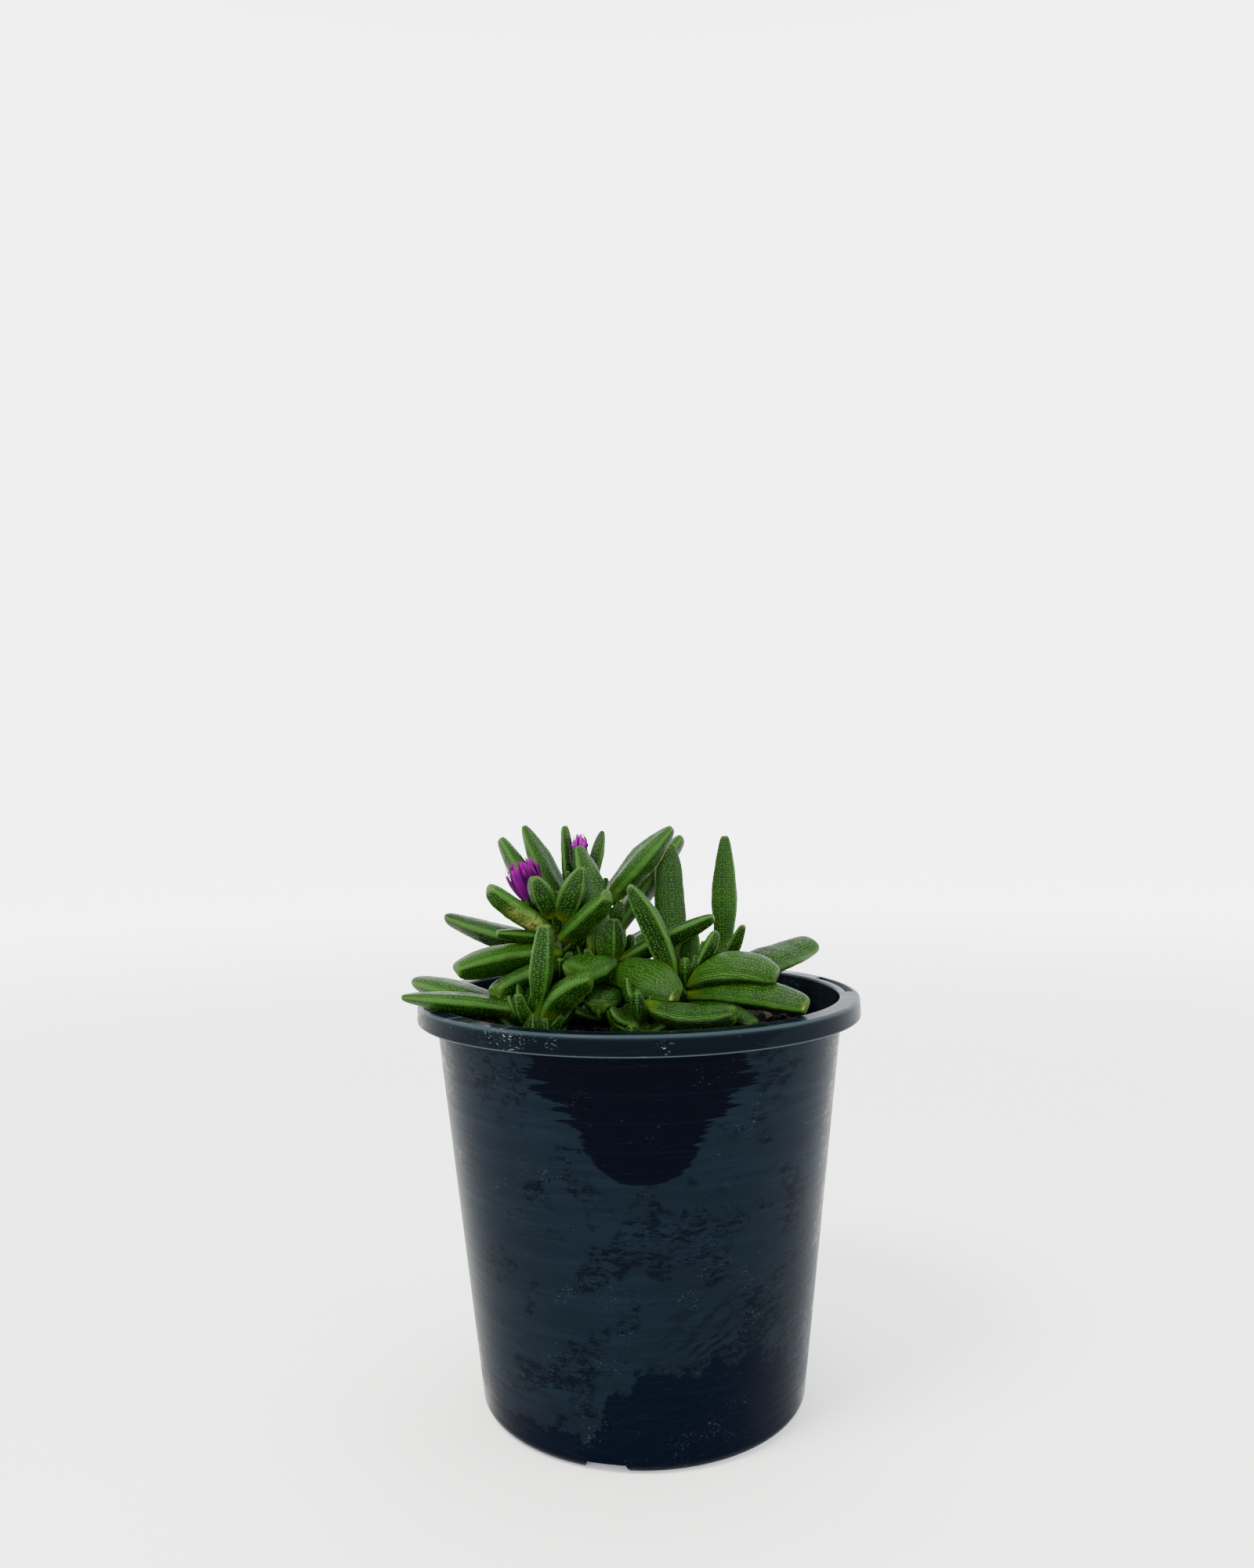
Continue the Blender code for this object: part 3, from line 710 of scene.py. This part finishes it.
def build_small_leaves(material):
    """Side leaves, tender hearts and fillers, all grown from the stems of the frame.

    Side leaves stand in opposite pairs, each pair a right angle on from the one below; they rise
    more steeply and get shorter up the stem.
    """
    shape, rng = Shape(), np.random.default_rng(41)
    for number, shoot in enumerate(SHOOTS):
        foot, top, _ = stem_ends(shoot)
        foot, top = foot / MM, top / MM
        first = rng.uniform(0, TURN)
        for pair, (share, rise, length) in enumerate(SIDE_PAIRS):
            base = foot + (top - foot) * share
            base[2] = max(base[2], MIX_LEVEL / MM + STEM_CLEAR)
            for half in range(2):
                heading = first + (pair / 2 + half) * math.pi + rng.normal(0, 0.15)
                reach = length * rng.uniform(0.85, 1.2)
                tip = base + reach * pointing(heading, math.radians(rise))
                free_leaf(shape, base, tip, reach * SIDE_WIDTH, 500 + number * 8 + pair * 2 + half)
    shape.piece("young_side_leaves", material, "leaf")

    rng = np.random.default_rng(77)
    hearts, fillers = Shape(), Shape()
    for number, shoot in enumerate(SHOOTS):
        foot, top, _ = stem_ends(shoot)
        foot, top = foot / MM, top / MM
        tender = dict(tone=0.95, groove=0.3)
        for pair in range(3):
            for half in range(2):
                heading = rng.uniform(0, TURN) if half == 0 else heading + math.pi
                out = pointing(heading)
                length = (9.0, 6.0, 3.5)[pair] * rng.uniform(0.8, 1.2)
                lean = (0.55, 0.35, 0.2)[pair]
                base = top + out * 0.9 - np.array([0, 0, 1.0])
                tip = base + length * (out * lean + np.array([0, 0, 1.0])) / math.hypot(1, lean)
                inwards = -out + np.array([0, 0, 0.3])
                width = length * 0.34
                free_leaf(hearts, base, tip, width, 900 + number * 9 + pair * 2 + half, 0.1, inwards,
                          30, 20, tender)
        # Fillers inside the plant take the darker half of the tones, as painted shade among the inner leaves
        for step in range(9):
            share = rng.uniform(0.35, 0.9)
            middle = foot + (top - foot) * share
            middle[2] = max(middle[2], MIX_LEVEL / MM + STEM_CLEAR)
            heading = rng.uniform(0, TURN)
            out = pointing(heading)
            length = rng.uniform(10, 17) * (0.7 if out[1] < -0.5 else 1.0)
            tip = middle + length * unit(out + np.array([0, 0, rng.uniform(0.4, 1.3)]))
            free_leaf(fillers, middle, tip, rng.uniform(4.2, 6.4), 2000 + number * 9 + step,
                      0.15, (0, 0, 1), 36, 24, dict(tone=rng.uniform(0.0, 0.5)))
    hearts.piece("heart_leaves", material, "leaf")
    fillers.piece("inner_leaves", material, "leaf")


def tube(shape, line, radii, columns, **values):
    """Adds a closed tube: rings of the given radii carried along a line, ends drawn to points."""
    tangent = unit(np.gradient(line, axis=0))
    aside = np.array([0.0, 1.0, 0.0]) if abs(tangent[0] @ [0, 1, 0]) < 0.9 else np.array([1.0, 0, 0])
    first = unit(np.cross(tangent, aside))
    second = np.cross(tangent, first)
    angle = full_turn(columns)
    radii = np.broadcast_to(radii, (len(line), columns)) if np.ndim(radii) == 2 else radii[:, None]
    ring = np.cos(angle)[:, None] * first[:, None] + np.sin(angle)[:, None] * second[:, None]
    grid = line[:, None] + ring * np.asarray(radii)[..., None]
    rows = len(line)
    length = np.concatenate(([0], np.cumsum(np.linalg.norm(np.diff(line, axis=0), axis=1))))
    away = np.minimum(angle, TURN - angle) * float(np.mean(radii))
    grain = laid_out(length[:, None], away[None], (0, 0), (length[-1], 0))
    along = np.concatenate((np.repeat(np.linspace(0, 1, rows), columns), [0.0, 1.0]))
    shape.rings(grid, (line[0], line[-1]), grain=grain, along=along, **values)


def build_stems(material):
    """Each stem swells at its leaf joints: radius times 1 + 0.2 exp(-(distance to a joint)^2)."""
    for number, shoot in enumerate(SHOOTS):
        foot, top, radii = stem_ends(shoot)
        rng = np.random.default_rng(40 + number)
        share = np.linspace(0, 1, 60)
        line = foot + (top - foot) * share[:, None]
        bow = np.sin(np.pi * share)[:, None] * rng.uniform(-0.7, 0.7, 3) * MM
        line = line + bow * [1, 1, 0]
        radius = radii[0] + (radii[1] - radii[0]) * share
        joints = np.arange(0.15, 1.01, 0.17)
        swell = np.exp(-(((share[:, None] - joints) / 0.035) ** 2)).sum(1)
        radius = radius * 0.94 * (1 + 0.22 * swell) * (1 - 0.75 * np.clip((share - 0.96) / 0.04, 0, 1))
        angle = full_turn(20)
        ridges = 1 + 0.05 * np.cos(4 * angle[None] + 3 * share[:, None])
        shape = Shape()
        tube(shape, line, radius[:, None] * ridges, 20)
        shape.piece(shoot + "_stem_skin", material, "stem", shoot + "_stem")


# ---------------------------------------------------------------- flower and bud


def lean_frame(lean):
    """Axis of a flower and two directions across it, from its azimuth and rise."""
    axis = pointing(*(math.radians(a) for a in lean))
    first = unit(np.cross(axis, [0.0, 0.0, 1.0]))
    return axis, first, np.cross(first, axis)


def build_calyx(name, node, foot, lean, profile, lobes, material):
    """A fleshy cup turned about its axis; its rim rises into lobes by a power of a cosine."""
    axis, first, second = lean_frame(lean)
    rows, columns = 40, 60
    heights, radii = np.array(profile).T * MM
    share = np.linspace(0, 1, rows)
    height = np.interp(share, np.linspace(0, 1, len(heights)), heights)
    radius = np.interp(share, np.linspace(0, 1, len(radii)), radii)
    angle = full_turn(columns)
    rise = (0.5 + 0.5 * np.cos(lobes * angle)) ** 1.5
    lift = height[:, None] + 1.5 * MM * rise * (share[:, None] ** 4)
    wide = radius[:, None] * (1 + 0.07 * np.cos(lobes * angle) * np.sin(np.pi * share[:, None]))
    ring = np.cos(angle)[:, None] * first + np.sin(angle)[:, None] * second
    grid = np.array(foot) + lift[..., None] * axis + wide[..., None] * ring
    ends = np.array([np.array(foot), np.array(foot) + (heights[-1] - 0.6 * MM) * axis])
    away = np.minimum(angle, TURN - angle) * radius.mean()
    grain = laid_out(height[:, None], away[None], (0, 0), (0, 0))
    shape = Shape()
    zero = np.float64(0.0)
    shape.rings(grid, ends, grain=grain, along=np.float64(0.5), margin=zero, upper=zero,
                scar=zero, tone=np.float64(0.55), wrinkle=zero)
    shape.piece(name, material, "calyx", node)


def petals(name, node, foot, lean, whorls, material, seed):
    """Narrow petals standing round a flower's axis.

    Each whorl is (count, base radius, base height, tip radius, tip height, width, curl). A petal's
    line goes from base to tip and bows out by curl; its half-width is
    sin(pi t^0.8)^0.45 (1 - t/4); its section is a thin lens cupped across its width.
    """
    axis, first, second = lean_frame(lean)
    rng = np.random.default_rng(seed)
    rows, columns = 16, 8
    along = (1 - np.cos(np.pi * (np.arange(rows) + 1) / (rows + 1))) / 2
    angle = full_turn(columns)
    shape = Shape()
    for count, base_radius, base_height, tip_radius, tip_height, width, curl in whorls:
        for number in range(count):
            heading = TURN * (number + rng.uniform(-0.3, 0.3)) / count
            out = math.cos(heading) * first + math.sin(heading) * second
            tip_heading = heading + rng.normal(0, 0.12)
            tip_out = math.cos(tip_heading) * first + math.sin(tip_heading) * second
            tip_out = tip_out * tip_radius * rng.uniform(0.9, 1.1)
            start = np.array(foot) + (out * base_radius + axis * base_height) * MM
            end = np.array(foot) + (tip_out + axis * tip_height * rng.uniform(0.85, 1.04)) * MM
            bow = np.sin(np.pi * along)[:, None] * out * curl * MM
            bend = (along**4)[:, None] * (out * rng.uniform(-1.0, 0.6) * MM)
            line = start + (end - start) * along[:, None] + bow + bend
            tangent = unit(np.gradient(line, along, axis=0))
            side = unit(np.cross(tangent, out))
            side = unit(side + rng.normal(0, 0.3) * out)
            normal = np.cross(side, tangent)
            half = width / 2 * MM * np.sin(np.pi * along**0.8) ** 0.45 * (1 - 0.25 * along)
            x = np.cos(angle)
            y = 0.14 * np.sin(angle) - 0.28 * (1 - x**2)
            grid = line[:, None] + half[:, None, None] * (
                x[None, :, None] * side[:, None] - y[None, :, None] * normal[:, None]
            )
            length = np.linalg.norm(end - start)
            offset = rng.uniform(0, 0.3)
            over = x[None] * half[:, None] + offset
            grain = laid_out(along[:, None] * length, over, (0, offset), (length, offset))
            t = np.concatenate((np.repeat(along, columns), [0.0, 1.0]))
            shape.rings(grid, (start, end + bend[-1]), grain=grain, along=t,
                        tone=np.float64(rng.uniform(0.0, 1.0)))
    shape.piece(name, material, "petals", node)


# ---------------------------------------------------------------- pot


def wall_radius(height):
    """Outside radius of the wall at a height, on the line from the base to the flange."""
    top = RIM_RADIUS - FLANGE_WIDTH
    foot = BASE_RADIUS + CORNER_RADIUS * 0.6
    share = (height - CORNER_RADIUS) / (POT_HEIGHT - SKIRT_HEIGHT - CORNER_RADIUS)
    return foot + (top - foot) * share


def arc(middle, radius, start, end, steps):
    angle = np.radians(np.linspace(start, end, steps))
    return np.stack((middle[0] + radius * np.cos(angle), middle[1] + radius * np.sin(angle)), -1)


def turned(shape, profile, steps):
    """A closed skin from a profile of (radius, height) turned about z, its ends on the axis."""
    ring = profile[1:-1]
    angle = full_turn(steps)
    grid = revolved(ring, angle)
    ends = [[0, 0, profile[0][1]], [0, 0, profile[-1][1]]]
    shape.rings(grid, ends)


def slot_cutter():
    """The label slot: a bar bent along the flange, as a closed strip of sections."""
    steps = 28
    middle = RIM_RADIUS - FLANGE_WIDTH / 2
    angle = np.radians(np.linspace(*SLOT_ARC, steps))
    inner, outer = middle - SLOT_WIDTH / 2, middle + SLOT_WIDTH / 2
    low, high = POT_HEIGHT - WALL * 2.2, POT_HEIGHT + WALL
    section = np.array([(inner, low), (inner, high), (outer, high), (outer, low)])
    grid = revolved(section, angle).transpose(1, 0, 2).reshape(-1, 3)
    faces = [tuple(f) for f in tube_faces(steps, 4)]
    faces += [(3, 2, 1, 0), tuple(steps * 4 - 4 + i for i in range(4))]
    return plain_object("label_slot", grid, faces)


def notch_cutter(index):
    """A drainage notch: a block with sloping upper corners, across the foot of the wall."""
    out = pointing(math.radians(NOTCH_FIRST + index * 360 / NOTCH_COUNT))
    side = np.array([-out[1], out[0], 0.0])
    near, far = BASE_RADIUS - NOTCH_DEPTH, BASE_RADIUS + 2 * CORNER_RADIUS
    half = NOTCH_WIDTH / 2
    rise = np.array([0.0, 0.0, NOTCH_HEIGHT])
    corners = ((near, -half), (far, -half), (far, half), (near, half))
    low = [out * away + side * across for away, across in corners]
    high = [p + rise + side * s * NOTCH_HEIGHT * 0.8 for p, s in zip(low, (1, 1, -1, -1))]
    low = [p - rise for p in low]
    faces = [(3, 2, 1, 0), (4, 5, 6, 7), (0, 1, 5, 4), (1, 2, 6, 5), (2, 3, 7, 6), (3, 0, 4, 7)]
    return plain_object(f"notch_{index + 1}", (*low, *high), faces)


def build_pot(material):
    """The pot's skin: wall with two faint stacking lines, rounded lip, flange and skirt, then cuts.

    A stacking line adds 0.12 mm exp(-((z - height) / 0.5 mm)^2) to the wall's radius.
    """
    inside_top = wall_radius(POT_HEIGHT) - WALL
    inside_foot = wall_radius(CORNER_RADIUS) - WALL
    lip = POT_HEIGHT - LIP_RADIUS
    outer_z = np.linspace(POT_HEIGHT - SKIRT_HEIGHT, CORNER_RADIUS, 120)
    lines = sum(np.exp(-(((outer_z - h * MM) / (0.5 * MM)) ** 2)) for h in (105.0, 97.0))
    outer = np.stack((wall_radius(outer_z) + 0.12 * MM * lines, outer_z), -1)
    skirt = RIM_RADIUS + SKIRT_FLARE
    low = POT_HEIGHT - SKIRT_HEIGHT
    round_edge = 0.35 * MM
    profile = np.concatenate((
        [(0.0, WALL)],
        np.linspace((8 * MM, WALL), (inside_foot - CORNER_RADIUS, WALL), 6),
        arc((inside_foot - CORNER_RADIUS + WALL, CORNER_RADIUS), CORNER_RADIUS - WALL, -80, 0, 8),
        np.linspace((inside_foot + 0.3 * MM, CORNER_RADIUS + 2 * MM), (inside_top, lip - 0.5 * MM), 24),
        arc((inside_top + LIP_RADIUS, lip), LIP_RADIUS, 175, 100, 6),
        np.linspace((inside_top + LIP_RADIUS + 0.5 * MM, POT_HEIGHT), (RIM_RADIUS - 1.2 * MM, POT_HEIGHT), 5),
        arc((RIM_RADIUS - 0.9 * MM, POT_HEIGHT - 0.9 * MM), 0.9 * MM, 88, 4, 7),
        np.linspace((RIM_RADIUS + 0.03 * MM, POT_HEIGHT - 1.6 * MM), (skirt, low + round_edge * 1.5), 6),
        arc((skirt - round_edge, low + round_edge), round_edge, 0, -90, 4),
        arc((skirt - WALL + round_edge, low + round_edge), round_edge, -90, -180, 4),
        [(RIM_RADIUS - WALL, POT_HEIGHT - WALL - 0.4 * MM)],
        [(RIM_RADIUS - WALL - 0.4 * MM, POT_HEIGHT - WALL)],
        [(wall_radius(POT_HEIGHT - WALL), POT_HEIGHT - WALL)],
        outer,
        arc((wall_radius(CORNER_RADIUS) - CORNER_RADIUS, CORNER_RADIUS), CORNER_RADIUS, -8, -90, 8),
        [(30 * MM, 0.0), (0.0, 0.0)],
    ))
    shape = Shape()
    turned(shape, profile, POT_STEPS)
    pot = shape.piece("pot_shell", material, "pot_plastic", "pot")
    cutters = [slot_cutter()] + [notch_cutter(i) for i in range(NOTCH_COUNT)]
    for cutter in cutters:
        boolean = pot.modifiers.new(cutter.name, "BOOLEAN")
        boolean.operation = "DIFFERENCE"
        boolean.solver = "EXACT"
        boolean.object = cutter
    cut = bpy.data.meshes.new_from_object(pot.evaluated_get(bpy.context.evaluated_depsgraph_get()))
    pot.modifiers.clear()
    pot.data = cut
    pot.data.set_sharp_from_angle(angle=math.radians(32))
    for cutter in cutters:
        bpy.data.objects.remove(cutter)


# ---------------------------------------------------------------- potting mix


def mix_height(radius, angle):
    """Level of the mix: its crown, plus slow waves and small lumps from sines."""
    x, y = radius * np.cos(angle) / MM, radius * np.sin(angle) / MM
    lumps = 0.7 * np.sin(x / 4.1 + 1.3 * np.sin(y / 6.3)) * np.sin(y / 3.7 + 1.1 * np.sin(x / 5.9))
    lumps += 0.35 * np.sin(x / 1.3 + 2 * np.sin(y / 2.9)) * np.sin(y / 1.1 + np.sin(x / 2.3))
    lumps += 0.2 * np.sin(x / 0.53 + 3 * np.sin(y / 1.7)) * np.sin(y / 0.47)
    return MIX_LEVEL + MIX_CROWN * (1 - (radius / MIX_RADIUS) ** 2) + lumps * MM


def build_mix(material, chip_material):
    """Crumbly top of the mix over its body, with loose bark chips and root fibres on it."""
    steps = 360
    angle = full_turn(steps)
    rings = np.linspace(1.0, MIX_RADIUS / MM, 110) * MM
    radius = rings[:, None]
    top = np.stack((radius * np.cos(angle), radius * np.sin(angle), mix_height(radius, angle[None])), -1)
    inner_low = BASE_RADIUS - NOTCH_DEPTH
    low_rings = [(wall_radius(20 * MM) - 2 * MM, 20 * MM), (inner_low, 2.0 * MM)]
    grid = np.concatenate((top, revolved(low_rings, angle)))
    ends = [[0, 0, float(mix_height(0.0, 0.0))], [0, 0, 2.0 * MM]]
    shape = Shape()
    shape.rings(grid, ends, tone=np.float64(0.3))
    shape.piece("potting_mix_body", material, "potting_mix", "potting_mix")

    rng = np.random.default_rng(5)
    chips = Shape()
    corners_flat = ((-1, -1), (1, -1), (1, 1), (-1, 1))
    cube = np.array([(x, y, z) for z in (-1, 1) for x, y in corners_flat], float)
    quads = np.array([(0, 1, 5, 4), (1, 2, 6, 5), (2, 3, 7, 6), (3, 0, 4, 7)])
    caps = np.array([(0, 3, 2), (0, 2, 1), (4, 5, 6), (4, 6, 7)])
    for _ in range(900):
        reach = MIX_RADIUS * math.sqrt(rng.uniform(0, 0.97))
        heading = rng.uniform(0, TURN)
        size = rng.uniform(0.8, 2.6) ** 1.5 * MM
        half = np.array([size, size * rng.uniform(0.3, 0.7), size * rng.uniform(0.12, 0.35)])
        corners = cube * half * rng.uniform(0.65, 1.15, (8, 3))
        turn = Matrix.Rotation(rng.uniform(0, TURN), 3, "Z") @ Matrix.Rotation(rng.normal(0, 0.4), 3, "Y")
        corners = corners @ np.array(turn @ Matrix.Rotation(rng.normal(0, 0.5), 3, "X")).T
        limit = min(reach, MIX_RADIUS - size * 1.2)
        level = float(mix_height(limit, heading)) + half[2] * 0.5
        place = np.array([limit * math.cos(heading), limit * math.sin(heading), level])
        chips.add(corners + place, quads, caps, tone=np.float64(rng.uniform(0, 1)))
    chips.piece("bark_chips", chip_material, "potting_mix", smooth=False)

    roots = Shape()
    for _ in range(110):
        reach = (MIX_RADIUS - 6 * MM) * math.sqrt(rng.uniform(0, 1))
        heading = rng.uniform(0, TURN)
        length = rng.uniform(4, 13) * MM
        share = np.linspace(-0.5, 0.5, 12)
        way = rng.uniform(0, TURN)
        curl = rng.normal(0, 1.2)
        x = reach * math.cos(heading) + length * share * np.cos(way + curl * share)
        y = reach * math.sin(heading) + length * share * np.sin(way + curl * share)
        arch = rng.uniform(0, 1.6) * MM * np.cos(np.pi * share)
        z = mix_height(np.hypot(x, y), np.arctan2(y, x)) + 0.5 * MM + arch
        tube(roots, np.stack((x, y, z), -1), np.full(12, rng.uniform(0.08, 0.2) * MM), 5,
             tone=np.float64(rng.uniform(0.6, 0.97)))
    roots.piece("root_fibres", chip_material, "potting_mix")


# ---------------------------------------------------------------- stage, lights and camera


def build_stage():
    """A round flat floor whose rings widen outwards, 40 m across."""
    radii = np.concatenate((np.linspace(0.1, 1.0, 10), np.geomspace(1.3, 20.0, 14)))
    steps = 96
    angle = full_turn(steps)
    grid = revolved(np.stack((radii, 0 * radii), -1), angle)
    points = np.concatenate((grid.reshape(-1, 3), [[0.0, 0.0, 0.0]]))
    faces = [tuple(f[::-1]) for f in tube_faces(len(radii), steps)]
    faces += [(len(points) - 1, i, (i + 1) % steps) for i in range(steps)]
    made = plain_object("studio_floor", points, faces)
    made.data.materials.append(floor_material())


def softbox(name, place, target, size, power, tint="#ffffff"):
    """A square soft light at a place in metres, aimed at a target."""
    data = bpy.data.lights.new(name, "AREA")
    data.size = size
    data.energy = power
    data.color = colour(tint)[:3]
    made = bpy.data.objects.new(name, data)
    bpy.context.scene.collection.objects.link(made)
    aim = Matrix.Translation(place).to_translation() - Matrix.Translation(target).to_translation()
    made.matrix_world = Matrix.Translation(place) @ aim.to_track_quat("Z", "Y").to_matrix().to_4x4()


def build_lights():
    """A bright world that dims overhead, and three soft lights."""
    world = bpy.data.worlds.new("studio")
    world.use_nodes = True
    tree = world.node_tree
    height = add_node(tree, "SeparateXYZ", {0: add_node(tree, "TexCoord", None, "Generated")}, 2)
    strength = height.ramp(0.5, 0.72, 6.0, 0.4)
    fill(tree, tree.nodes["Background"], {"Color": "#f7f9fc", "Strength": strength})
    bpy.context.scene.world = world
    softbox("key", (-0.5, -0.5, 1.1), (0, 0, 0.12), 0.4, 30.0, "#fff8ec")
    softbox("top", (0.1, 0.25, 1.2), (0, 0, 0.12), 0.7, 14.0)
    softbox("side", (0.9, -0.3, 0.5), (0, 0, 0.08), 0.5, 6.0)


CAMERA_PLACE = (-2.7 * MM, -387.05 * MM, 188.8 * MM)
CAMERA_LENS, CAMERA_SENSOR = 27.59, 36.0  # mm
CAMERA_TILT, CAMERA_ROLL = 0.011, -0.015  # radians: above level, and about its line of sight


def build_camera():
    """A level camera a little above the rim, close in front of the pot."""
    data = bpy.data.cameras.new("camera")
    data.lens = CAMERA_LENS
    data.sensor_width = CAMERA_SENSOR
    data.clip_start = 0.01
    made = bpy.data.objects.new("camera", data)
    place = Matrix.Translation(CAMERA_PLACE)
    pitch = Matrix.Rotation(math.pi / 2 + CAMERA_TILT, 4, "X")
    roll = Matrix.Rotation(CAMERA_ROLL, 4, "Z")
    made.matrix_world = place @ pitch @ roll
    bpy.context.scene.collection.objects.link(made)
    bpy.context.scene.camera = made


# ---------------------------------------------------------------- the object

build_camera()
build_stage()
build_lights()
LEAF = leaf_material()
build_pot(pot_material())
# Nearly black mix and bark: their own dark colour, darkened further as painted shade inside the pot
build_mix(
    mix_material("potting_mix_damp", "#010101", "#070604"),
    mix_material("pine_bark_composted", "#010101", "#0d0b08"),
)
build_stems(stem_material())
build_leaves(LEAF)
build_small_leaves(LEAF)
FLOWER_CUP = ((0.0, 1.8), (3.0, 3.2), (6.0, 3.6))  # height and radius in mm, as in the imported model
BUD_CUP = ((0.0, 1.4), (5.0, 2.9), (10.0, 2.4), (12.0, 1.9))
build_calyx("flower_cup", "flower_calyx", FLOWER_FOOT, FLOWER_LEAN, FLOWER_CUP, 5, LEAF)
build_calyx("bud_cup", "bud_calyx", BUD_FOOT, BUD_LEAN, BUD_CUP, 5, LEAF)
petals(
    "flower_petal_strips", "flower_petals", FLOWER_FOOT, FLOWER_LEAN,
    (
        (19, 2.9, 4.4, 5.6, 16.4, 2.2, 0.4),
        (18, 2.4, 4.2, 4.6, 17.2, 2.0, 0.3),
        (14, 1.6, 4.2, 3.0, 17.4, 1.8, 0.2),
    ),
    petal_material("petal_skin_magenta", "#200020", "#520052", "#74066e"), 11,
)
petals(
    "bud_petal_strips", "bud_petals", BUD_FOOT, BUD_LEAN,
    (
        (12, 1.6, 10.6, 1.5, 15.4, 1.6, 0.9),
        (8, 1.0, 11.0, 0.7, 15.8, 1.4, 0.5),
    ),
    petal_material("bud_petal_skin", "#3c003c", "#780078", "#961896"), 12,
)
